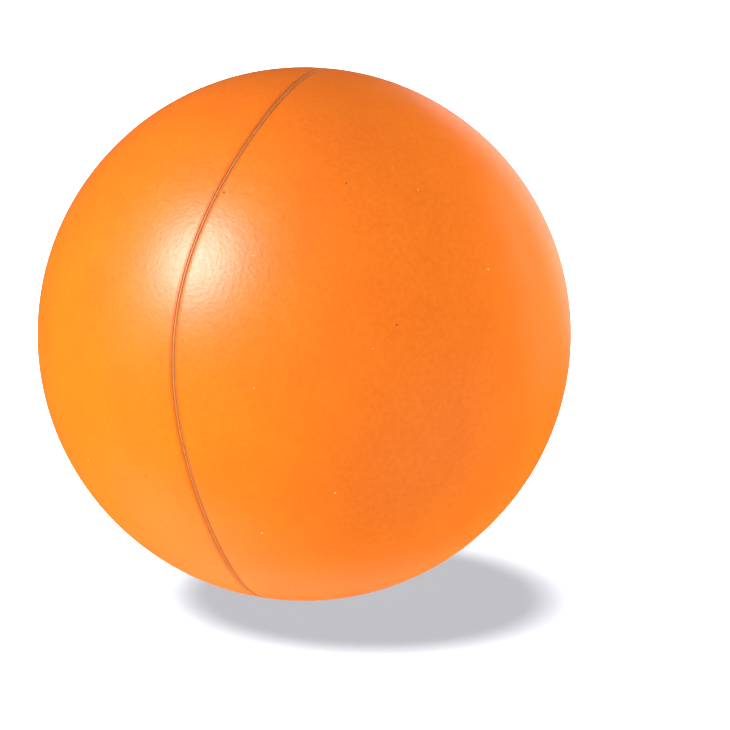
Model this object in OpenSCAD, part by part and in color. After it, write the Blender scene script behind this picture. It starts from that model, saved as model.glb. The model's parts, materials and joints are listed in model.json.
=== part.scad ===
// Round hand-exercise ball, moulded from soft polyurethane foam in a two-part mould.
// The mould opens along X, and its parting plane stands upright through the ball's middle.
// The origin is the centre of the ball, +Z is up and +X points out of the lid half.
// From the inside out: foam core, the foam's own dense skin, two halves of colour coat that
// thin towards the parting plane, and the bead of trimmed flash in the groove between them.
// The bead is no higher than the ball is round, so the ball stands on its coat.

/* [Ball] */
// Diameter of the ball over its colour coat
ball_d = 63; // [50:1:80]

/* [Parting line] */
// Width of the shallow groove along the parting plane, from one edge to the other
groove_w = 1.2; // [0.8:0.1:3]
// Depth of the groove at the parting plane, where the coat is thinnest
groove_depth = 0.12; // [0.02:0.01:0.13]

/* [Layers] */
// Thickness of the colour coat that was sprayed into each mould half
coat_t = 0.2; // [0.15:0.05:0.6]
// Thickness of the dense skin that the foam forms against the mould
skin_t = 1.2; // [0.6:0.1:2.5]

/* [Flash bead] */
// Width of the trimmed flash along X
flash_w = 0.4; // [0.2:0.05:0.8]
// How far the trimmed crest lies below the round of the ball
flash_sunk = 0; // [0:0.01:0.06]

/* [Clearances] */
// Bond line between the colour coat and the dense skin
bond_gap = 0.1; // [0.05:0.05:0.3]
// Bond line between the dense skin and its neighbours: the core inside, the flash outside
seat_gap = 0.05; // [0.05:0.05:0.2]
// Crease between the flash bead and the rim of each coat half
rim_gap = 0.05; // [0.05:0.05:0.2]

/* [Hidden] */
$fn = 144;
ball_r = ball_d / 2;
coat_inner_r = ball_r - coat_t;
skin_outer_r = coat_inner_r - bond_gap;
skin_inner_r = skin_outer_r - skin_t;
core_r = skin_inner_r - seat_gap;
// Each coat half stops this far from the parting plane
rim_back = flash_w / 2 + rim_gap;
// Distances from the X axis to the groove's bottom and to the flash's foot and crest
groove_bottom = ball_r - groove_depth;
flash_foot = skin_outer_r + seat_gap;
flash_crest = ball_r - flash_sunk;
// Each shoulder of the flash slopes over a quarter of its width
flash_bevel = flash_w / 4;

// A spherical shell about the origin
module shell(outer_r, inner_r) {
    difference() {
        sphere(r = outer_r);
        sphere(r = inner_r);
    }
}

// Turns an outline about the X axis: its x is the distance from the axis, its y lies along X
module turned_about_x() {
    rotate([0, 90, 0])
        rotate_extrude()
            children();
}

// The open-celled inside of the moulding
module foam_core() {
    color("#f3d9a4")
        sphere(r = core_r);
}

// The closed skin of dense foam that cures against the mould, all round
module integral_skin() {
    color("#f0a04a")
        shell(skin_outer_r, skin_inner_r);
}

// Half the section of the coat, from the rim to the pole
module coat_section() {
    intersection() {
        difference() {
            circle(r = ball_r);
            circle(r = coat_inner_r);
        }
        translate([0, rim_back])
            square([ball_d, ball_d]);
    }
}

// Section of the shallow groove: a V that goes on at the same slope past the ball's surface
module groove_section() {
    polygon([
        [groove_bottom, 0],
        [groove_bottom + 2 * groove_depth, -groove_w],
        [groove_bottom + 2 * groove_depth, groove_w]
    ]);
}

// The coat half on the +X side
module coat_half() {
    turned_about_x()
        difference() {
            coat_section();
            groove_section();
        }
}

// Colour coat from the mould half that the foam is poured into, on the -X side
module pour_half_coat() {
    color("#f77a22")
        mirror([1, 0, 0])
            coat_half();
}

// Colour coat from the mould's lid, on the +X side
module lid_half_coat() {
    color("#f77a22")
        coat_half();
}

// The bead left where the flash was trimmed: its crest cut flat, its shoulders sloping
module parting_flash() {
    color("#c9531a")
        turned_about_x()
            polygon([
                [flash_foot, -flash_w / 2],
                [flash_crest - flash_bevel, -flash_w / 2],
                [flash_crest, flash_bevel - flash_w / 2],
                [flash_crest, flash_w / 2 - flash_bevel],
                [flash_crest - flash_bevel, flash_w / 2],
                [flash_foot, flash_w / 2]
            ]);
}

foam_core();
integral_skin();
pour_half_coat();
lid_half_coat();
parting_flash();
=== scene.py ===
import json
import math

import bpy
import numpy as np
from bpy.props import FloatProperty, FloatVectorProperty, IntProperty, PointerProperty
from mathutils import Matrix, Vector


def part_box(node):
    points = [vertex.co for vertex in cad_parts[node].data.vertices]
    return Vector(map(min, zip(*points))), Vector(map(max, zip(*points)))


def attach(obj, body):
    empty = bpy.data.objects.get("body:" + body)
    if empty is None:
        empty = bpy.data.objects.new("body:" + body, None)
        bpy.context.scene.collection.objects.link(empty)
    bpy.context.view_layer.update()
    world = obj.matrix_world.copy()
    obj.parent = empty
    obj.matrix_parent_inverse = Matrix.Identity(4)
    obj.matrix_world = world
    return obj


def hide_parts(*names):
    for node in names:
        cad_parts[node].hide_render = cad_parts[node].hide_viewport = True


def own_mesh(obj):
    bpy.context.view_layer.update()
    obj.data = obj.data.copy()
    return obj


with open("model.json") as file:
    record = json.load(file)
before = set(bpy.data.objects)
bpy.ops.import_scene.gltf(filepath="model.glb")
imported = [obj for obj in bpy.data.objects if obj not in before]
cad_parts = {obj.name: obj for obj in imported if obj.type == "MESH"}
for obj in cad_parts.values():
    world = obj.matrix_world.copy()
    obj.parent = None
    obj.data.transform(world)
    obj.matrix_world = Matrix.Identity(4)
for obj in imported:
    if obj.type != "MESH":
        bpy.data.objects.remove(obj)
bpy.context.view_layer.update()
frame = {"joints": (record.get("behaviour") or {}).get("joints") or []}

bl_info = {
    "name": "Moulded foam stress ball",
    "version": (1, 0, 0),
    "blender": (4, 5, 0),
    "location": "View3D > Sidebar > Stress ball",
    "description": "Dresses the packed ball: coat halves, flash bead, nibs, skin, foam and stage",
    "category": "Object",
}

MM = 0.001


def widest(node):
    """How far a CAD node reaches from the ball's centre."""
    low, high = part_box(node)
    return max(*high, *(-side for side in low))


# Sizes that the CAD solids settle
BALL_RADIUS = widest("pour_half_coat")
SKIN_RADIUS = widest("integral_skin")
CORE_RADIUS = widest("foam_core")
FLASH_LOW, FLASH_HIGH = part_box("parting_flash")
PARTING_OFFSET = (FLASH_LOW.x + FLASH_HIGH.x) / 2
FLASH_WIDTH = FLASH_HIGH.x - FLASH_LOW.x
LID_LOW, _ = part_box("lid_half_coat")
# The coat laps over the foot of the flash, so only the middle of its width stands clear
BEAD_WIDTH = 0.6 * FLASH_WIDTH
RIM_BACK = LID_LOW.x - PARTING_OFFSET - (FLASH_WIDTH - BEAD_WIDTH) / 2
SKIN_CLEARANCE = 0.05 * MM

# The squeeze, as the record states it
SQUEEZE = frame["joints"][0]["name"]
SQUEEZE_LID = frame["joints"][1]["name"]
OPENING_AXIS = (1, 0, 0)


# ---------------------------------------------------------------------------------------
# Colours, nodes and meshes


def linear(code):
    """A hex sRGB colour as linear red, green and blue."""
    shares = (int(code[at : at + 2], 16) / 255 for at in (1, 3, 5))
    return tuple(s / 12.92 if s <= 0.04045 else ((s + 0.055) / 1.055) ** 2.4 for s in shares)


def opaque(colour):
    """A colour with an alpha of 1, as sockets want it."""
    return (*colour, 1)


def add_node(tree, kind, links=None, **settings):
    """Adds a node. links gives each input a value or the output that feeds it."""
    made = tree.nodes.new(kind)
    for name, value in settings.items():
        setattr(made, name, value)
    for name, value in (links or {}).items():
        if isinstance(value, bpy.types.NodeSocket):
            tree.links.new(value, made.inputs[name])
        else:
            made.inputs[name].default_value = value
    return made


def new_piece(name, mesh):
    """An object at the origin, in the scene."""
    piece = bpy.data.objects.new(name, mesh)
    bpy.context.scene.collection.objects.link(piece)
    return piece


def smooth_mesh(name, points, faces):
    """A smooth-shaded mesh."""
    mesh = bpy.data.meshes.new(name)
    mesh.from_pydata([tuple(p) for p in points], [], faces)
    mesh.shade_smooth()
    return mesh


def geometry_tree(name, sizes, geometry_in=True):
    """A geometry tree with a material input and one number input for each name in sizes."""
    tree = bpy.data.node_groups.new(name, "GeometryNodeTree")
    if geometry_in:
        tree.interface.new_socket("Geometry", in_out="INPUT", socket_type="NodeSocketGeometry")
    for size in sizes:
        tree.interface.new_socket(size, in_out="INPUT", socket_type="NodeSocketFloat")
    tree.interface.new_socket("Material", in_out="INPUT", socket_type="NodeSocketMaterial")
    tree.interface.new_socket("Geometry", in_out="OUTPUT", socket_type="NodeSocketGeometry")
    return tree, add_node(tree, "NodeGroupInput").outputs


def end_tree(tree, geometry, material):
    """Ends a tree in plain meshes with the material on them."""
    real = add_node(tree, "GeometryNodeRealizeInstances", {"Geometry": geometry})
    dressed = add_node(
        tree,
        "GeometryNodeSetMaterial",
        {"Geometry": real.outputs["Geometry"], "Material": material},
    )
    add_node(tree, "NodeGroupOutput", {"Geometry": dressed.outputs["Geometry"]})


def made_plain(piece, tree, values):
    """Runs a geometry tree on a piece and keeps its result as the piece's plain mesh."""
    modifier = piece.modifiers.new(tree.name, "NODES")
    modifier.node_group = tree
    for socket in tree.interface.items_tree:
        if socket.in_out == "INPUT" and socket.name in values:
            modifier[socket.identifier] = values[socket.name]
    evaluated = piece.evaluated_get(bpy.context.evaluated_depsgraph_get())
    mesh = bpy.data.meshes.new_from_object(evaluated)
    mesh.name = piece.name
    piece.modifiers.remove(modifier)
    old, piece.data = piece.data, mesh
    bpy.data.meshes.remove(old)
    return piece


def noise_height(tree, where, grain, height, detail=1.0):
    """A height field in metres: noise of that grain, between minus and plus half of height."""
    frequency = add_node(tree, "ShaderNodeMath", {0: 1.0, 1: grain}, operation="DIVIDE")
    field = add_node(
        tree,
        "ShaderNodeTexNoise",
        {"Vector": where, "Scale": frequency.outputs[0], "Detail": detail},
    )
    centred = add_node(
        tree, "ShaderNodeMath", {0: field.outputs["Fac"], 1: 0.5}, operation="SUBTRACT"
    )
    return add_node(
        tree, "ShaderNodeMath", {0: centred.outputs[0], 1: height}, operation="MULTIPLY"
    ).outputs[0]


def soft_piece(piece, body, node):
    """Puts a finished soft piece on its body, gives it a mesh of its own and hides the CAD node it
    stands for, if any.
    """
    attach(piece, body)
    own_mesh(piece)
    if node:
        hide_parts(node)


# ---------------------------------------------------------------------------------------
# What a user may change


class StressBallSizes(bpy.types.PropertyGroup):
    """Sizes of the looks. The CAD settles the ball, the parting plane and the flash."""

    wander: FloatProperty(
        name="Line wander",
        description="How far the parting line strays in its slow waves",
        default=1.08 * MM,
        unit="LENGTH",
    )
    wander_turns: IntProperty(
        name="Slow waves",
        description="Slow waves of the parting line in one turn round the ball",
        default=3,
    )
    wander_phase: FloatProperty(
        name="Slow phase",
        description="Where round the ball a slow wave is farthest into the lid half",
        default=math.radians(-44.1),
        subtype="ANGLE",
    )
    ripple: FloatProperty(
        name="Line ripple",
        description="How far the parting line strays in its quicker waves",
        default=0.27 * MM,
        unit="LENGTH",
    )
    ripple_turns: IntProperty(
        name="Quick waves",
        description="Quicker waves of the parting line in one turn round the ball",
        default=4,
    )
    ripple_phase: FloatProperty(
        name="Quick phase",
        description="Where round the ball a quicker wave is farthest into the lid half",
        default=math.radians(-30.3),
        subtype="ANGLE",
    )
    rim_roll: FloatProperty(
        name="Rim roll",
        description="Radius that the coat's edge rolls over where it meets the flash",
        default=0.09 * MM,
        unit="LENGTH",
    )
    valley_depth: FloatProperty(
        name="Valley depth",
        description="How far the coat dips along the parting line",
        default=0.06 * MM,
        unit="LENGTH",
    )
    valley_reach: FloatProperty(
        name="Valley reach",
        description="How far from the parting line the coat starts to dip",
        default=0.3 * MM,
        unit="LENGTH",
    )
    swell_height: FloatProperty(
        name="Swell height",
        description="Height of the broad unevenness of the soft ball",
        default=0.03 * MM,
        unit="LENGTH",
    )
    swell_size: FloatProperty(
        name="Swell size",
        description="Distance between the broad swells",
        default=9 * MM,
        unit="LENGTH",
    )
    peel_height: FloatProperty(
        name="Orange peel height",
        description="Height of the coat's orange peel, cut into the mesh",
        default=0.008 * MM,
        unit="LENGTH",
    )
    peel_size: FloatProperty(
        name="Orange peel size",
        description="Distance between the humps of the coat's orange peel",
        default=1.6 * MM,
        unit="LENGTH",
    )
    nick_depth: FloatProperty(
        name="Trim nicks",
        description="How much the knife left the flash's crest uneven",
        default=0.06 * MM,
        unit="LENGTH",
    )
    nick_size: FloatProperty(
        name="Nick spacing",
        description="Distance between nicks along the flash",
        default=1.1 * MM,
        unit="LENGTH",
    )
    nib_radius: FloatProperty(
        name="Nib radius",
        description="Radius of the largest speck dried into the coat",
        default=0.13 * MM,
        unit="LENGTH",
    )
    nib_density: FloatProperty(
        name="Nibs",
        description="Specks for each square metre of coat",
        default=3600,
    )
    cell_size: FloatProperty(
        name="Foam cell",
        description="Distance between the open cells of the foam core",
        default=2 * MM,
        unit="LENGTH",
    )
    cell_depth: FloatProperty(
        name="Cell depth",
        description="How deep the open cells are on the core's face",
        default=0.3 * MM,
        unit="LENGTH",
    )


class StressBallColours(bpy.types.PropertyGroup):
    """Colours, as linear values of sRGB hex codes."""

    coat: FloatVectorProperty(
        name="Coat", description="Colour coat", subtype="COLOR", default=linear("#F27200")
    )
    # Painted shade: a darker, redder coat colour laid along the valley at the parting line and on
    # the flash's foot, as the shade there.
    valley_shade_colour: FloatVectorProperty(
        name="Pooled coat",
        description="Colour coat where it has pooled thick along the parting line",
        subtype="COLOR",
        default=linear("#C24C0A"),
    )
    coat_pale: FloatVectorProperty(
        name="Thin coat",
        description="Colour coat where it has dried thin",
        subtype="COLOR",
        default=linear("#F77A00"),
    )
    # Painted shade: pin holes are coloured darker, as the shade inside them.
    pit_shade: FloatVectorProperty(
        name="Pit", description="Pin holes in the coat", subtype="COLOR", default=linear("#A8480F")
    )
    flash: FloatVectorProperty(
        name="Flash crest",
        description="Cut crest of the flash",
        subtype="COLOR",
        default=linear("#C98034"),
    )
    nib: FloatVectorProperty(
        name="Nib",
        description="Pale specks dried into the coat",
        subtype="COLOR",
        default=linear("#FFC894"),
    )
    skin: FloatVectorProperty(
        name="Dense skin",
        description="The foam's own skin",
        subtype="COLOR",
        default=linear("#E9B36A"),
    )
    foam: FloatVectorProperty(
        name="Foam", description="Open-celled core", subtype="COLOR", default=linear("#F0DDB2")
    )
    floor: FloatVectorProperty(
        name="Floor", description="Pale card", subtype="COLOR", default=linear("#CBCCD1")
    )


class StressBallStage(bpy.types.PropertyGroup):
    """Camera and lights."""

    azimuth: FloatProperty(
        name="Azimuth",
        description="Camera's turn round the ball",
        default=math.radians(26.1),
        subtype="ANGLE",
    )
    elevation: FloatProperty(
        name="Elevation",
        description="Camera's height angle",
        default=math.radians(15.0),
        subtype="ANGLE",
    )
    distance: FloatProperty(
        name="Distance",
        description="From the ball's centre to the camera",
        default=0.63,
        unit="LENGTH",
    )
    ball_share: FloatProperty(
        name="Ball in frame",
        description="The ball's width as a share of the picture's",
        default=0.7316,
        subtype="FACTOR",
    )
    shift_x: FloatProperty(
        name="Shift right", description="Lens shift that sets the ball to the left", default=0.0833
    )
    shift_y: FloatProperty(
        name="Shift up", description="Lens shift that sets the ball higher", default=-0.0427
    )
    floor_size: FloatProperty(
        name="Floor", description="Side of the floor", default=16.0, unit="LENGTH"
    )


# ---------------------------------------------------------------------------------------
# Materials


def new_material(name):
    """An empty node material and its tree."""
    material = bpy.data.materials.new(name)
    material.use_nodes = True
    material.node_tree.nodes.clear()
    return material, material.node_tree


def finish_material(tree, shader):
    add_node(tree, "ShaderNodeOutputMaterial", {"Surface": shader.outputs["BSDF"]})


def share(tree, value, low, high, to_low=0.0, to_high=1.0):
    """value from low to high, turned into to_low to to_high, and held there."""
    return add_node(
        tree,
        "ShaderNodeMapRange",
        {
            "Value": value,
            "From Min": low,
            "From Max": high,
            "To Min": to_low,
            "To Max": to_high,
        },
    ).outputs["Result"]


def blended(tree, factor, first, second):
    """The first colour turning into the second as factor goes from 0 to 1."""
    return add_node(
        tree,
        "ShaderNodeMix",
        {"Factor": factor, 6: first, 7: second},
        data_type="RGBA",
    ).outputs[2]


def sprayed_coat(colours):
    """Elastic polyurethane coat, sprayed into the mould and cured against its blasted wall.

    It gives the eye a satin orange with a broad soft highlight, broken by orange peel, and
    by faint clouds where the spray dried thick or thin. Along the parting line it is painted
    deeper and redder, as the shade in the valley there, and its few pin holes are painted
    darker, as the shade inside them.
    """
    material, tree = new_material("satin_polyurethane_coat_sprayed")
    place = add_node(tree, "ShaderNodeTexCoord").outputs["Object"]
    clouds = add_node(
        tree, "ShaderNodeTexNoise", {"Vector": place, "Scale": 1 / (7 * MM), "Detail": 3.0}
    )
    # the blasted wall's real grain is 0.1 mm, drawn several times as coarse so that it shows
    mottle = add_node(
        tree, "ShaderNodeTexNoise", {"Vector": place, "Scale": 1 / (0.55 * MM), "Detail": 3.0}
    )
    grain = add_node(
        tree, "ShaderNodeTexNoise", {"Vector": place, "Scale": 1 / (0.45 * MM), "Detail": 3.0}
    )
    peel = add_node(
        tree, "ShaderNodeTexNoise", {"Vector": place, "Scale": 1 / (1.3 * MM), "Detail": 2.0}
    )
    holes = add_node(tree, "ShaderNodeTexVoronoi", {"Vector": place, "Scale": 1 / (5 * MM)})
    hole = share(tree, holes.outputs["Distance"], 0.035, 0.015)
    # Painted shade: a mask that is strongest along the parting line, where the coat is darkened as
    # the shade in the valley.
    valley_shade = add_node(tree, "ShaderNodeAttribute", attribute_name="valley_shade").outputs["Fac"]
    thin = blended(
        tree,
        share(tree, clouds.outputs["Fac"], 0.35, 0.7, 0.2, 0.8),
        opaque(colours.coat),
        opaque(colours.coat_pale),
    )
    shade = add_node(
        tree,
        "ShaderNodeHueSaturation",
        {"Value": share(tree, mottle.outputs["Fac"], 0.3, 0.7, 0.95, 1.05), "Color": thin},
    ).outputs["Color"]
    # Painted shade: the coat turns towards the darker valley colour along the parting line.
    thick = share(tree, valley_shade, 0.0, 1.0, 0.0, 0.65)
    valley_shaded = blended(tree, thick, shade, opaque(colours.valley_shade_colour))
    # Painted shade: pin holes turn darker, as the shade inside them; the bump below also sinks
    # them.
    pit_shaded = blended(tree, hole, valley_shaded, opaque(colours.pit_shade))
    roughness = share(tree, mottle.outputs["Fac"], 0.25, 0.75, 0.34, 0.42)
    humps = add_node(
        tree, "ShaderNodeBump", {"Height": peel.outputs["Fac"], "Distance": 0.02 * MM}
    )
    fine = add_node(
        tree,
        "ShaderNodeBump",
        {"Height": grain.outputs["Fac"], "Distance": 0.028 * MM, "Normal": humps.outputs[0]},
    )
    sunk = add_node(
        tree,
        "ShaderNodeBump",
        {"Height": hole, "Distance": 0.06 * MM, "Normal": fine.outputs[0]},
        invert=True,
    )
    shader = add_node(
        tree,
        "ShaderNodeBsdfPrincipled",
        {
            "Base Color": pit_shaded,
            "Roughness": roughness,
            "IOR": 1.5,
            "Specular IOR Level": 0.45,
            "Normal": sunk.outputs[0],
        },
    )
    finish_material(tree, shader)
    return material


def cut_flash(colours):
    """Flash of coat and skin, trimmed with a knife.

    It gives the eye a fine ridge whose cut crest is paler and yellower than the coat, and
    whose foot is painted deep orange-red, as the shade where the ridge meets the coat.
    """
    material, tree = new_material("polyurethane_flash_knife_trimmed")
    place = add_node(tree, "ShaderNodeTexCoord").outputs["Object"]
    crest = add_node(tree, "ShaderNodeAttribute", attribute_name="crest").outputs["Fac"]
    ragged = add_node(
        tree, "ShaderNodeTexNoise", {"Vector": place, "Scale": 1 / (0.5 * MM), "Detail": 3.0}
    )
    height = add_node(
        tree,
        "ShaderNodeMath",
        {0: crest, 1: share(tree, ragged.outputs["Fac"], 0.3, 0.7, -0.25, 0.25)},
        operation="ADD",
    )
    # Painted shade: the colour darkens from the cut crest's own paler tan to the valley shade
    # colour towards the foot.
    colour = blended(
        tree,
        share(tree, height.outputs[0], 0.35, 0.85),
        opaque(colours.valley_shade_colour),
        opaque(colours.flash),
    )
    rough = add_node(
        tree, "ShaderNodeBump", {"Height": ragged.outputs["Fac"], "Distance": 0.02 * MM}
    )
    shader = add_node(
        tree,
        "ShaderNodeBsdfPrincipled",
        {"Base Color": colour, "Roughness": 0.5, "IOR": 1.5, "Normal": rough.outputs[0]},
    )
    finish_material(tree, shader)
    return material


def dried_nib(colours):
    """Overspray grit dried into the coat: pale specks, matt, slightly proud."""
    material, tree = new_material("polyurethane_overspray_nib_dried")
    place = add_node(tree, "ShaderNodeTexCoord").outputs["Object"]
    tone = add_node(tree, "ShaderNodeTexNoise", {"Vector": place, "Scale": 1 / (3 * MM)})
    colour = blended(
        tree,
        share(tree, tone.outputs["Fac"], 0.4, 0.6),
        opaque(colours.coat_pale),
        opaque(colours.nib),
    )
    shader = add_node(
        tree, "ShaderNodeBsdfPrincipled", {"Base Color": colour, "Roughness": 0.6, "IOR": 1.5}
    )
    finish_material(tree, shader)
    return material


def self_skin(colours):
    """Dense skin that polyurethane foam cures to against the mould.

    It gives the eye a dull tan rubber with flow clouds and closed pores.
    """
    material, tree = new_material("polyurethane_self_skin_moulded")
    place = add_node(tree, "ShaderNodeTexCoord").outputs["Object"]
    flow = add_node(
        tree,
        "ShaderNodeTexNoise",
        {"Vector": place, "Scale": 1 / (11 * MM), "Detail": 4.0, "Distortion": 1.5},
    )
    pores = add_node(tree, "ShaderNodeTexVoronoi", {"Vector": place, "Scale": 1 / (0.9 * MM)})
    tone = add_node(
        tree,
        "ShaderNodeHueSaturation",
        {
            "Value": share(tree, flow.outputs["Fac"], 0.3, 0.7, 0.9, 1.05),
            "Color": opaque(colours.skin),
        },
    ).outputs["Color"]
    dimples = add_node(
        tree,
        "ShaderNodeBump",
        {"Height": share(tree, pores.outputs["Distance"], 0.1, 0.4), "Distance": 0.05 * MM},
    )
    shader = add_node(
        tree,
        "ShaderNodeBsdfPrincipled",
        {"Base Color": tone, "Roughness": 0.6, "IOR": 1.5, "Normal": dimples.outputs[0]},
    )
    finish_material(tree, shader)
    return material


def open_foam(colours):
    """Open-celled flexible polyurethane foam, as it rose in the mould.

    It gives the eye a dry cream sponge: pale cell walls, and cells painted darker the deeper they
    sink, as the shade in them.
    """
    material, tree = new_material("open_cell_polyurethane_foam_moulded")
    place = add_node(tree, "ShaderNodeTexCoord").outputs["Object"]
    depth = add_node(tree, "ShaderNodeAttribute", attribute_name="cell").outputs["Fac"]
    fine = add_node(tree, "ShaderNodeTexVoronoi", {"Vector": place, "Scale": 1 / (0.45 * MM)})
    # Painted shade: the deeper a cell sinks, the darker its colour.
    shaded = add_node(
        tree,
        "ShaderNodeHueSaturation",
        {"Value": share(tree, depth, 0.0, 1.0, 1.05, 0.7), "Color": opaque(colours.foam)},
    ).outputs["Color"]
    walls = add_node(
        tree, "ShaderNodeBump", {"Height": fine.outputs["Distance"], "Distance": 0.15 * MM}
    )
    shader = add_node(
        tree,
        "ShaderNodeBsdfPrincipled",
        {"Base Color": shaded, "Roughness": 0.9, "IOR": 1.5, "Normal": walls.outputs[0]},
    )
    finish_material(tree, shader)
    return material


def pale_card(colours):
    """Matt pale card, as a studio sweep: one even surface with a faint tooth."""
    material, tree = new_material("pale_card_matt")
    place = add_node(tree, "ShaderNodeTexCoord").outputs["Object"]
    tooth = add_node(tree, "ShaderNodeTexNoise", {"Vector": place, "Scale": 1 / (1.5 * MM)})
    bump = add_node(
        tree, "ShaderNodeBump", {"Height": tooth.outputs["Fac"], "Distance": 0.02 * MM}
    )
    shader = add_node(
        tree,
        "ShaderNodeBsdfPrincipled",
        {
            "Base Color": opaque(colours.floor),
            "Roughness": 0.9,
            "Specular IOR Level": 0.1,
            "Normal": bump.outputs[0],
        },
    )
    finish_material(tree, shader)
    return material


# ---------------------------------------------------------------------------------------
# Shapes


def turned(angle):
    """Directions square to the opening axis: angle 0 is -Y, a quarter turn is up."""
    return np.stack([np.zeros_like(angle), -np.cos(angle), np.sin(angle)], -1)


def parting_x(angle, sizes):
    """Where the parting line lies along X, for each angle round the ball."""
    slow = np.cos(sizes.wander_turns * (angle - sizes.wander_phase))
    quick = np.cos(sizes.ripple_turns * (angle - sizes.ripple_phase))
    return PARTING_OFFSET + sizes.wander * slow + sizes.ripple * quick


def rim_drop(from_rim, sizes):
    """How far the coat's face lies below the sphere, at a distance from its rim."""
    roll = sizes.rim_roll
    inside = np.clip(roll - from_rim, 0, roll)
    rolled = roll - np.sqrt(np.maximum(roll**2 - inside**2, 0))
    return rolled + sizes.valley_depth * np.exp(-((from_rim / sizes.valley_reach) ** 2))


COAT_AROUND = 600  # columns of the coat's mesh
COAT_RINGS = 108  # rings from the pole to the fine stretch at the rim
FINE_RINGS = 20  # rings in the last stretch, closest together at the rim
FINE_REACH = 1.6 * MM
INNER_RINGS = 12
COAT_THICKNESS = 0.2 * MM
RIM_CLEARANCE = 0.02 * MM
RIM_TAPER = 0.25  # share of the way to the pole over which the thin rim gains its thickness


def coat_half(name, side, sizes):
    """A closed half shell of coat. side is -1 for the pour half and 1 for the lid half."""
    angle = np.arange(COAT_AROUND) * 2 * math.pi / COAT_AROUND
    pole = 0.0 if side > 0 else math.pi
    rim = np.arccos((parting_x(angle, sizes) + side * RIM_BACK) / BALL_RADIUS)
    reach = np.abs(rim - pole)
    fine = FINE_REACH / BALL_RADIUS
    rough_share = np.arange(1, COAT_RINGS + 1) / COAT_RINGS
    fine_share = 1 - (1 - np.arange(1, FINE_RINGS + 1) / FINE_RINGS) ** 2
    rings = []
    for part in rough_share:
        rings.append((reach - fine) * part)
    for part in fine_share:
        rings.append(reach - fine * (1 - part))
    out = turned(angle)
    points, valley_shades = [], []

    def ring(polar, radius, valley_shade):
        theta = pole - polar * (1 if pole else -1)
        x = radius * np.cos(theta)
        points.append(out * (radius * np.sin(theta))[:, None] + np.stack([x, 0 * x, 0 * x], -1))
        valley_shades.append(np.broadcast_to(valley_shade, x.shape))

    for polar in rings:
        from_rim = (reach - polar) * BALL_RADIUS
        # Painted shade mask: strongest at the rim by the parting line; the coat's material darkens
        # the coat with it as the shade in the valley there.
        valley_shade = np.exp(-((from_rim / sizes.valley_reach) ** 2))
        ring(polar, BALL_RADIUS - rim_drop(from_rim, sizes), valley_shade)
    at_rim, behind = SKIN_RADIUS + RIM_CLEARANCE, BALL_RADIUS - COAT_THICKNESS
    for part in np.arange(INNER_RINGS, 0, -1) / INNER_RINGS:
        radius = at_rim + (behind - at_rim) * min(1, (1 - part) / RIM_TAPER)
        ring(reach * part, np.full(COAT_AROUND, radius), 0.0)
    outer_pole = np.array([[side * BALL_RADIUS, 0, 0]])
    inner_pole = np.array([[side * (BALL_RADIUS - COAT_THICKNESS), 0, 0]])
    count = len(points)
    verts = np.concatenate([*points, outer_pole, inner_pole])
    first_pole, last_pole = count * COAT_AROUND, count * COAT_AROUND + 1
    here = np.arange(COAT_AROUND)
    then = (here + 1) % COAT_AROUND
    faces = [(first_pole, a, b) for a, b in zip(then, here)]
    for level in range(count - 1):
        low, high = level * COAT_AROUND, (level + 1) * COAT_AROUND
        faces += list(zip(low + here, low + then, high + then, high + here))
    end = (count - 1) * COAT_AROUND
    faces += [(last_pole, end + a, end + b) for a, b in zip(here, then)]
    if side > 0:
        faces = [tuple(reversed(f)) for f in faces]
    faces = [tuple(int(v) for v in f) for f in faces]
    mesh = smooth_mesh(name, verts, faces)
    valley_shade_layer = mesh.attributes.new("valley_shade", "FLOAT", "POINT")
    valley_shade_layer.data.foreach_set("value", np.concatenate([*valley_shades, [0, 0]]).astype(np.float32))
    return mesh


def relief_tree():
    """Broad swells and orange peel, pushed along the surface's own direction."""
    names = ("Swell height", "Swell size", "Peel height", "Peel size")
    tree, given = geometry_tree("coat relief", names)
    where = add_node(tree, "GeometryNodeInputPosition").outputs[0]
    swell = noise_height(tree, where, given["Swell size"], given["Swell height"])
    peel = noise_height(tree, where, given["Peel size"], given["Peel height"], detail=2.0)
    both = add_node(tree, "ShaderNodeMath", {0: swell, 1: peel}, operation="ADD")
    away = add_node(tree, "ShaderNodeVectorMath", {0: where}, operation="NORMALIZE")
    push = add_node(
        tree,
        "ShaderNodeVectorMath",
        {0: away.outputs[0], "Scale": both.outputs[0]},
        operation="SCALE",
    )
    moved = add_node(
        tree,
        "GeometryNodeSetPosition",
        {"Geometry": given["Geometry"], "Offset": push.outputs[0]},
    )
    end_tree(tree, moved.outputs["Geometry"], given["Material"])
    return tree


BEAD_STEPS = 1800
BEAD_SIDES = 14
FRINGE_SHARE = 0.45  # how much finer the bead's sideways fringe is than its nicks
BEAD_HEIGHT = BALL_RADIUS - SKIN_RADIUS - SKIN_CLEARANCE


def bead_path(sizes):
    """The parting line as a closed loop of edges, at the middle of the bead's height."""
    angle = np.arange(BEAD_STEPS) * 2 * math.pi / BEAD_STEPS
    x = parting_x(angle, sizes)
    from_axis = np.sqrt((BALL_RADIUS - BEAD_HEIGHT / 2) ** 2 - x**2)
    points = turned(angle) * from_axis[:, None] + np.stack([x, 0 * x, 0 * x], -1)
    mesh = bpy.data.meshes.new("bead_path")
    loop = [(i, (i + 1) % BEAD_STEPS) for i in range(BEAD_STEPS)]
    mesh.from_pydata([tuple(p) for p in points], loop, [])
    return mesh


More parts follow.
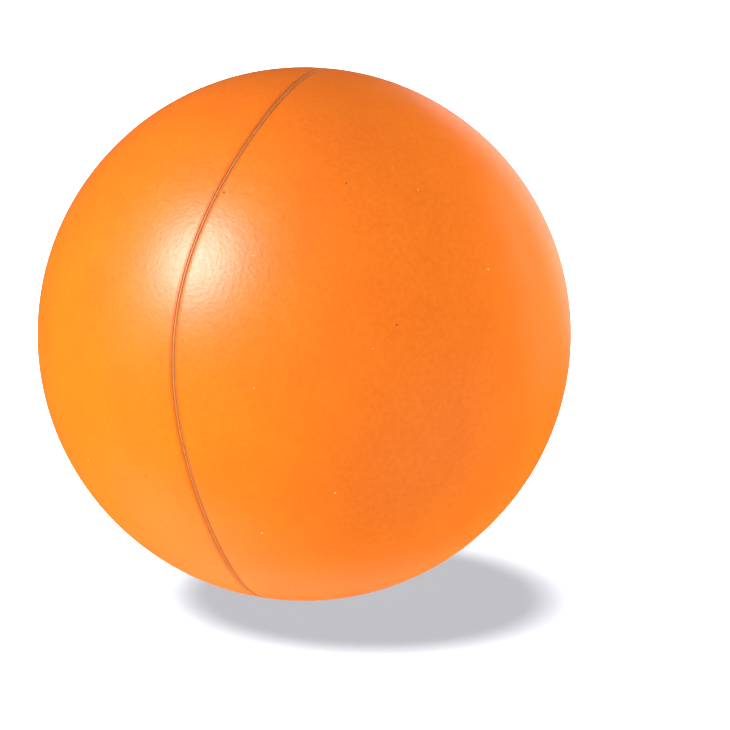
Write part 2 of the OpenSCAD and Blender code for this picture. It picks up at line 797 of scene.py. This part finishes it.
def bead_tree():
    """A bead swept along the path, with an uneven knife-trimmed crest and a rippled fringe."""
    names = ("Width", "Height", "Nick depth", "Nick size", "Foot radius")
    tree, given = geometry_tree("flash bead", names)
    line = add_node(tree, "GeometryNodeMeshToCurve", {"Mesh": given["Geometry"]})
    upright = add_node(
        tree,
        "GeometryNodeSetCurveNormal",
        {"Curve": line.outputs["Curve"], "Normal": OPENING_AXIS},
        mode="FREE",
    )
    round_section = add_node(
        tree, "GeometryNodeCurvePrimitiveCircle", {"Resolution": BEAD_SIDES, "Radius": 0.5}
    )
    spread = add_node(
        tree, "ShaderNodeCombineXYZ", {"X": given["Width"], "Y": given["Height"], "Z": 1.0}
    )
    section = add_node(
        tree,
        "GeometryNodeTransform",
        {"Geometry": round_section.outputs["Curve"], "Scale": spread.outputs[0]},
    )
    swept = add_node(
        tree,
        "GeometryNodeCurveToMesh",
        {"Curve": upright.outputs["Curve"], "Profile Curve": section.outputs["Geometry"]},
    )
    where = add_node(tree, "GeometryNodeInputPosition").outputs[0]
    away = add_node(tree, "ShaderNodeVectorMath", {0: where}, operation="NORMALIZE").outputs[0]
    far = add_node(tree, "ShaderNodeVectorMath", {0: where}, operation="LENGTH")
    over = add_node(
        tree,
        "ShaderNodeMath",
        {0: far.outputs["Value"], 1: given["Foot radius"]},
        operation="SUBTRACT",
    )
    over_share = add_node(
        tree, "ShaderNodeMath", {0: over.outputs[0], 1: given["Height"]}, operation="DIVIDE"
    )
    crest = add_node(
        tree, "ShaderNodeClamp", {"Value": over_share.outputs[0], "Min": 0.0, "Max": 1.0}
    )
    marked = add_node(
        tree,
        "GeometryNodeStoreNamedAttribute",
        {"Geometry": swept.outputs["Mesh"], "Name": "crest", "Value": crest.outputs[0]},
        data_type="FLOAT",
        domain="POINT",
    )
    cut = noise_height(tree, where, given["Nick size"], given["Nick depth"], detail=2.0)
    sunk = add_node(
        tree, "ShaderNodeMath", {0: cut, 1: crest.outputs[0]}, operation="MULTIPLY"
    )
    down = add_node(
        tree,
        "ShaderNodeVectorMath",
        {0: away, "Scale": sunk.outputs[0]},
        operation="SCALE",
    )
    fringe = add_node(
        tree, "ShaderNodeMath", {0: given["Nick size"], 1: FRINGE_SHARE}, operation="MULTIPLY"
    )
    ripple = noise_height(tree, where, fringe.outputs[0], given["Nick depth"])
    aside = add_node(tree, "ShaderNodeCombineXYZ", {"X": ripple})
    both = add_node(
        tree, "ShaderNodeVectorMath", {0: down.outputs[0], 1: aside.outputs[0]}, operation="ADD"
    )
    trimmed = add_node(
        tree,
        "GeometryNodeSetPosition",
        {"Geometry": marked.outputs["Geometry"], "Offset": both.outputs[0]},
    )
    smooth = add_node(
        tree, "GeometryNodeSetShadeSmooth", {"Geometry": trimmed.outputs["Geometry"]}
    )
    end_tree(tree, smooth.outputs["Geometry"], given["Material"])
    return tree


SPECK_HEIGHT = 0.35  # shares of a speck's radius
SPECK_LENGTH = 1.3


def scatter_tree():
    """Flattened specks scattered over a surface and half sunk in it."""
    tree, given = geometry_tree("coat nibs", ("Radius", "Density"))
    spread = add_node(
        tree,
        "GeometryNodeDistributePointsOnFaces",
        {"Mesh": given["Geometry"], "Density": given["Density"], "Seed": 11},
        distribute_method="RANDOM",
    )
    speck = add_node(tree, "GeometryNodeMeshIcoSphere", {"Radius": 1.0, "Subdivisions": 2})
    size = add_node(tree, "FunctionNodeRandomValue", {"Min": 0.45, "Max": 1.0, "Seed": 5})
    radius = add_node(
        tree,
        "ShaderNodeMath",
        {0: size.outputs["Value"], 1: given["Radius"]},
        operation="MULTIPLY",
    )
    flat = add_node(
        tree, "ShaderNodeMath", {0: radius.outputs[0], 1: SPECK_HEIGHT}, operation="MULTIPLY"
    )
    long = add_node(
        tree, "ShaderNodeMath", {0: radius.outputs[0], 1: SPECK_LENGTH}, operation="MULTIPLY"
    )
    scale = add_node(
        tree,
        "ShaderNodeCombineXYZ",
        {"X": radius.outputs[0], "Y": long.outputs[0], "Z": flat.outputs[0]},
    )
    placed = add_node(
        tree,
        "GeometryNodeInstanceOnPoints",
        {
            "Points": spread.outputs["Points"],
            "Instance": speck.outputs["Mesh"],
            "Rotation": spread.outputs["Rotation"],
            "Scale": scale.outputs[0],
        },
    )
    end_tree(tree, placed.outputs["Instances"], given["Material"])
    return tree


def cell_tree():
    """A ball of open foam: walls stand between cells, which sink into its face."""
    names = ("Radius", "Cell size", "Cell depth")
    tree, given = geometry_tree("foam cells", names, geometry_in=False)
    ball = add_node(
        tree, "GeometryNodeMeshIcoSphere", {"Radius": given["Radius"], "Subdivisions": 7}
    )
    where = add_node(tree, "GeometryNodeInputPosition").outputs[0]
    pace = add_node(tree, "ShaderNodeMath", {0: 1.0, 1: given["Cell size"]}, operation="DIVIDE")
    cells = add_node(
        tree,
        "ShaderNodeTexVoronoi",
        {"Vector": where, "Scale": pace.outputs[0]},
        feature="DISTANCE_TO_EDGE",
    )
    cell = share(tree, cells.outputs["Distance"], 0.04, 0.28)
    marked = add_node(
        tree,
        "GeometryNodeStoreNamedAttribute",
        {"Geometry": ball.outputs["Mesh"], "Name": "cell", "Value": cell},
        data_type="FLOAT",
        domain="POINT",
    )
    sink = add_node(
        tree, "ShaderNodeMath", {0: cell, 1: given["Cell depth"]}, operation="MULTIPLY"
    )
    back = add_node(tree, "ShaderNodeMath", {0: sink.outputs[0], 1: -1.0}, operation="MULTIPLY")
    away = add_node(tree, "ShaderNodeVectorMath", {0: where}, operation="NORMALIZE")
    inward = add_node(
        tree,
        "ShaderNodeVectorMath",
        {0: away.outputs[0], "Scale": back.outputs[0]},
        operation="SCALE",
    )
    sunk = add_node(
        tree,
        "GeometryNodeSetPosition",
        {"Geometry": marked.outputs["Geometry"], "Offset": inward.outputs[0]},
    )
    smooth = add_node(tree, "GeometryNodeSetShadeSmooth", {"Geometry": sunk.outputs["Geometry"]})
    end_tree(tree, smooth.outputs["Geometry"], given["Material"])
    return tree


def skin_tree():
    """A closed, hollow ball: a gently flowed outer face and a plain inner one."""
    names = ("Outer radius", "Inner radius", "Flow depth", "Flow size")
    tree, given = geometry_tree("dense skin", names, geometry_in=False)
    outer = add_node(
        tree, "GeometryNodeMeshIcoSphere", {"Radius": given["Outer radius"], "Subdivisions": 7}
    )
    where = add_node(tree, "GeometryNodeInputPosition").outputs[0]
    flow = noise_height(tree, where, given["Flow size"], given["Flow depth"], detail=2.0)
    low = add_node(
        tree, "ShaderNodeMath", {0: flow, 1: given["Flow depth"]}, operation="SUBTRACT"
    )
    away = add_node(tree, "ShaderNodeVectorMath", {0: where}, operation="NORMALIZE")
    inward = add_node(
        tree,
        "ShaderNodeVectorMath",
        {0: away.outputs[0], "Scale": low.outputs[0]},
        operation="SCALE",
    )
    face = add_node(
        tree,
        "GeometryNodeSetPosition",
        {"Geometry": outer.outputs["Mesh"], "Offset": inward.outputs[0]},
    )
    inner = add_node(
        tree, "GeometryNodeMeshIcoSphere", {"Radius": given["Inner radius"], "Subdivisions": 6}
    )
    turned_in = add_node(tree, "GeometryNodeFlipFaces", {"Mesh": inner.outputs["Mesh"]})
    both = add_node(tree, "GeometryNodeJoinGeometry")
    tree.links.new(turned_in.outputs["Mesh"], both.inputs["Geometry"])
    tree.links.new(face.outputs["Geometry"], both.inputs["Geometry"])
    smooth = add_node(tree, "GeometryNodeSetShadeSmooth", {"Geometry": both.outputs["Geometry"]})
    end_tree(tree, smooth.outputs["Geometry"], given["Material"])
    return tree


# ---------------------------------------------------------------------------------------
# The operators, one for each group of pieces and one for the stage

POUR_ANCHOR = (-BALL_RADIUS, 0, 0)
LID_ANCHOR = (BALL_RADIUS, 0, 0)
HALVES = (
    ("pour_side", "pour_half_coat", -1, SQUEEZE, POUR_ANCHOR),
    ("lid_side", "lid_half_coat", 1, SQUEEZE_LID, LID_ANCHOR),
)


class STRESSBALL_OT_foam_core(bpy.types.Operator):
    """Make the open-celled foam core"""

    bl_idname = "stress_ball.foam_core"
    bl_label = "Foam core"

    def execute(self, context):
        sizes, colours = context.scene.stress_ball_sizes, context.scene.stress_ball_colours
        core = made_plain(
            new_piece("foam_heart", bpy.data.meshes.new("foam_heart")),
            cell_tree(),
            {
                "Radius": CORE_RADIUS,
                "Cell size": sizes.cell_size,
                "Cell depth": sizes.cell_depth,
                "Material": open_foam(colours),
            },
        )
        soft_piece(core, "core", "foam_core")
        return {"FINISHED"}


class STRESSBALL_OT_dense_skin(bpy.types.Operator):
    """Make the dense skin that the foam cures to against the mould"""

    bl_idname = "stress_ball.dense_skin"
    bl_label = "Dense skin"

    def execute(self, context):
        colours = context.scene.stress_ball_colours
        skin = made_plain(
            new_piece("dense_foam_skin", bpy.data.meshes.new("dense_foam_skin")),
            skin_tree(),
            {
                "Outer radius": SKIN_RADIUS,
                "Inner radius": CORE_RADIUS + SKIN_CLEARANCE,
                "Flow depth": 0.03 * MM,
                "Flow size": 6 * MM,
                "Material": self_skin(colours),
            },
        )
        soft_piece(skin, "core", "integral_skin")
        return {"FINISHED"}


class STRESSBALL_OT_parting_flash(bpy.types.Operator):
    """Sweep the trimmed flash along the parting line"""

    bl_idname = "stress_ball.parting_flash"
    bl_label = "Parting flash"

    def execute(self, context):
        sizes, colours = context.scene.stress_ball_sizes, context.scene.stress_ball_colours
        bead = made_plain(
            new_piece("flash_bead", bead_path(sizes)),
            bead_tree(),
            {
                "Width": BEAD_WIDTH,
                "Height": BEAD_HEIGHT,
                "Nick depth": sizes.nick_depth,
                "Nick size": sizes.nick_size,
                "Foot radius": BALL_RADIUS - BEAD_HEIGHT,
                "Material": cut_flash(colours),
            },
        )
        soft_piece(bead, "core", "parting_flash")
        return {"FINISHED"}


class STRESSBALL_OT_coat_halves(bpy.types.Operator):
    """Make the two halves of the colour coat, each closed at its rim, and their nibs"""

    bl_idname = "stress_ball.coat_halves"
    bl_label = "Coat halves"

    def execute(self, context):
        sizes, colours = context.scene.stress_ball_sizes, context.scene.stress_ball_colours
        coat, nib = sprayed_coat(colours), dried_nib(colours)
        relief, scatter = relief_tree(), scatter_tree()
        for body, node, side, joint, anchor in HALVES:
            shell = made_plain(
                new_piece(f"coat_shell_{body}", coat_half(node, side, sizes)),
                relief,
                {
                    "Swell height": sizes.swell_height,
                    "Swell size": sizes.swell_size,
                    "Peel height": sizes.peel_height,
                    "Peel size": sizes.peel_size,
                    "Material": coat,
                },
            )
            specks = made_plain(
                new_piece(f"coat_nibs_{body}", shell.data.copy()),
                scatter,
                {
                    "Radius": sizes.nib_radius,
                    "Density": sizes.nib_density,
                    "Material": nib,
                },
            )
            soft_piece(specks, body, None)
            soft_piece(shell, body, node)
        return {"FINISHED"}


class STRESSBALL_OT_stage(bpy.types.Operator):
    """Lay the floor, hang the lights and place the camera"""

    bl_idname = "stress_ball.stage"
    bl_label = "Stage"

    def execute(self, context):
        stage, colours = context.scene.stress_ball_stage, context.scene.stress_ball_colours
        pieces = [thing for thing in context.scene.objects if thing.type == "MESH"]
        floor = lay_floor(stage, colours)
        groups = {"ball": lit_group("ball", pieces), "card": lit_group("card", [floor])}
        for piece in pieces:
            piece.visible_diffuse = False
        light_world(context.scene)
        for light in LIGHTS:
            hang_light(stage, groups, *light)
        place_camera(context.scene, stage)
        context.scene.view_settings.view_transform = "Standard"
        return {"FINISHED"}


# ---------------------------------------------------------------------------------------
# The stage

# name, what it lights, turn to the right of the camera and height in degrees, spread in
# degrees, strength, and what of the light the surfaces return: "matt", "gloss" or "both"
LIGHTS = (
    ("key_softbox", "ball", -80, 0, 20, 2.5, "matt"),
    ("key_glint", "ball", -60, 37, 28, 5.9, "gloss"),
    ("left_scrim", "ball", -60, 30, 40, 1.6, "matt"),
    ("front_scrim", "ball", 20, 0, 20, 0.95, "matt"),
    ("low_right_scrim", "ball", 70, -35, 60, 0.6, "matt"),
    ("right_scrim", "ball", 130, 0, 40, 4.0, "matt"),
    ("right_edge", "ball", 158, 0, 30, 0.25, "gloss"),
    ("low_left_scrim", "ball", -120, -60, 40, 1.5, "matt"),
    ("low_back_scrim", "ball", 180, -50, 40, 3.8, "matt"),
    ("overhead_softbox", "card", -110, 69, 60, 18.0, "matt"),
)
TENT_MATT, TENT_GLOSS = 0.62, 0.06  # what matt and glossy surfaces see of the white tent


def direction(turn, height):
    """The unit vector towards a place at that turn from -Y and that height, in radians."""
    flat = math.cos(height)
    return Vector((math.sin(turn) * flat, -math.cos(turn) * flat, math.sin(height)))


def lay_floor(stage, colours):
    """A plain card under the ball. It takes the ball's shadow and gives no light back."""
    half = stage.floor_size / 2
    corners = [(x * half, y * half, -BALL_RADIUS) for x, y in ((-1, -1), (1, -1), (1, 1), (-1, 1))]
    mesh = bpy.data.meshes.new("floor")
    mesh.from_pydata(corners, [], [(0, 1, 2, 3)])
    mesh.materials.append(pale_card(colours))
    floor = new_piece("floor", mesh)
    floor.visible_diffuse = floor.visible_glossy = floor.visible_shadow = False
    return floor


def light_world(scene):
    """A white tent: plain white past the floor's edge, and dimmer in the coat's gloss."""
    world = bpy.data.worlds.new("studio")
    world.use_nodes = True
    tree = world.node_tree
    tree.nodes.clear()
    path = add_node(tree, "ShaderNodeLightPath").outputs
    lit = share(tree, path["Is Glossy Ray"], 0.0, 1.0, TENT_MATT, TENT_GLOSS)
    tone = share(tree, path["Is Camera Ray"], 0.0, 1.0, lit, 1.0)
    backdrop = add_node(tree, "ShaderNodeBackground", {"Color": (1, 1, 1, 1), "Strength": tone})
    add_node(tree, "ShaderNodeOutputWorld", {"Surface": backdrop.outputs[0]})
    world.cycles.sampling_method = "NONE"
    scene.world = world


def lit_group(name, things):
    """A group of objects that a light can be kept to."""
    group = bpy.data.collections.new(name)
    for thing in things:
        group.objects.link(thing)
    return group


def hang_light(stage, groups, name, lit, turn, height, spread, strength, returned):
    """A broad, distant light on one group, as a softbox is on a small object."""
    light = bpy.data.lights.new(name, "SUN")
    light.energy = strength
    light.angle = math.radians(spread)
    lamp = bpy.data.objects.new(name, light)
    towards = direction(stage.azimuth + math.radians(turn), math.radians(height))
    lamp.rotation_euler = towards.to_track_quat("Z", "Y").to_euler()
    lamp.location = towards
    lamp.visible_glossy = returned != "matt"
    lamp.visible_diffuse = returned != "gloss"
    lamp.light_linking.receiver_collection = groups[lit]
    bpy.context.scene.collection.objects.link(lamp)


SENSOR = 36.0  # mm


def place_camera(scene, stage):
    """A long lens, square to the ball's middle, with the frame shifted to set the ball left."""
    data = bpy.data.cameras.new("camera")
    data.sensor_width = SENSOR
    edge = math.asin(BALL_RADIUS / stage.distance)
    data.lens = stage.ball_share * SENSOR / 2 / math.tan(edge)
    data.shift_x, data.shift_y = stage.shift_x, stage.shift_y
    data.clip_start, data.clip_end = 0.01, 20
    camera = bpy.data.objects.new("camera", data)
    back = direction(stage.azimuth, stage.elevation)
    camera.location = back * stage.distance
    camera.rotation_euler = (-back).to_track_quat("-Z", "Y").to_euler()
    scene.collection.objects.link(camera)
    scene.camera = camera


# ---------------------------------------------------------------------------------------
# The add-on

MAKERS = (
    STRESSBALL_OT_foam_core,
    STRESSBALL_OT_dense_skin,
    STRESSBALL_OT_parting_flash,
    STRESSBALL_OT_coat_halves,
    STRESSBALL_OT_stage,
)


class STRESSBALL_PT_panel(bpy.types.Panel):
    """The stress ball's sizes and colours, and a button for each group of its pieces"""

    bl_idname = "STRESSBALL_PT_panel"
    bl_label = "Stress ball"
    bl_space_type = "VIEW_3D"
    bl_region_type = "UI"
    bl_category = "Stress ball"

    def draw(self, context):
        for group in SETTINGS:
            box = self.layout.box()
            values = getattr(context.scene, group)
            for name in values.bl_rna.properties.keys():
                if name not in {"rna_type", "name"}:
                    box.prop(values, name)
        for maker in MAKERS:
            self.layout.operator(maker.bl_idname)


SETTINGS = {
    "stress_ball_sizes": StressBallSizes,
    "stress_ball_colours": StressBallColours,
    "stress_ball_stage": StressBallStage,
}
CLASSES = (*SETTINGS.values(), *MAKERS, STRESSBALL_PT_panel)


def register():
    for made in CLASSES:
        bpy.utils.register_class(made)
    for name, group in SETTINGS.items():
        setattr(bpy.types.Scene, name, PointerProperty(type=group))


def unregister():
    for name in SETTINGS:
        delattr(bpy.types.Scene, name)
    for made in reversed(CLASSES):
        bpy.utils.unregister_class(made)


def main():
    register()
    bpy.ops.stress_ball.foam_core()
    bpy.ops.stress_ball.dense_skin()
    bpy.ops.stress_ball.parting_flash()
    bpy.ops.stress_ball.coat_halves()
    bpy.ops.stress_ball.stage()


if __name__ == "__main__":
    main()
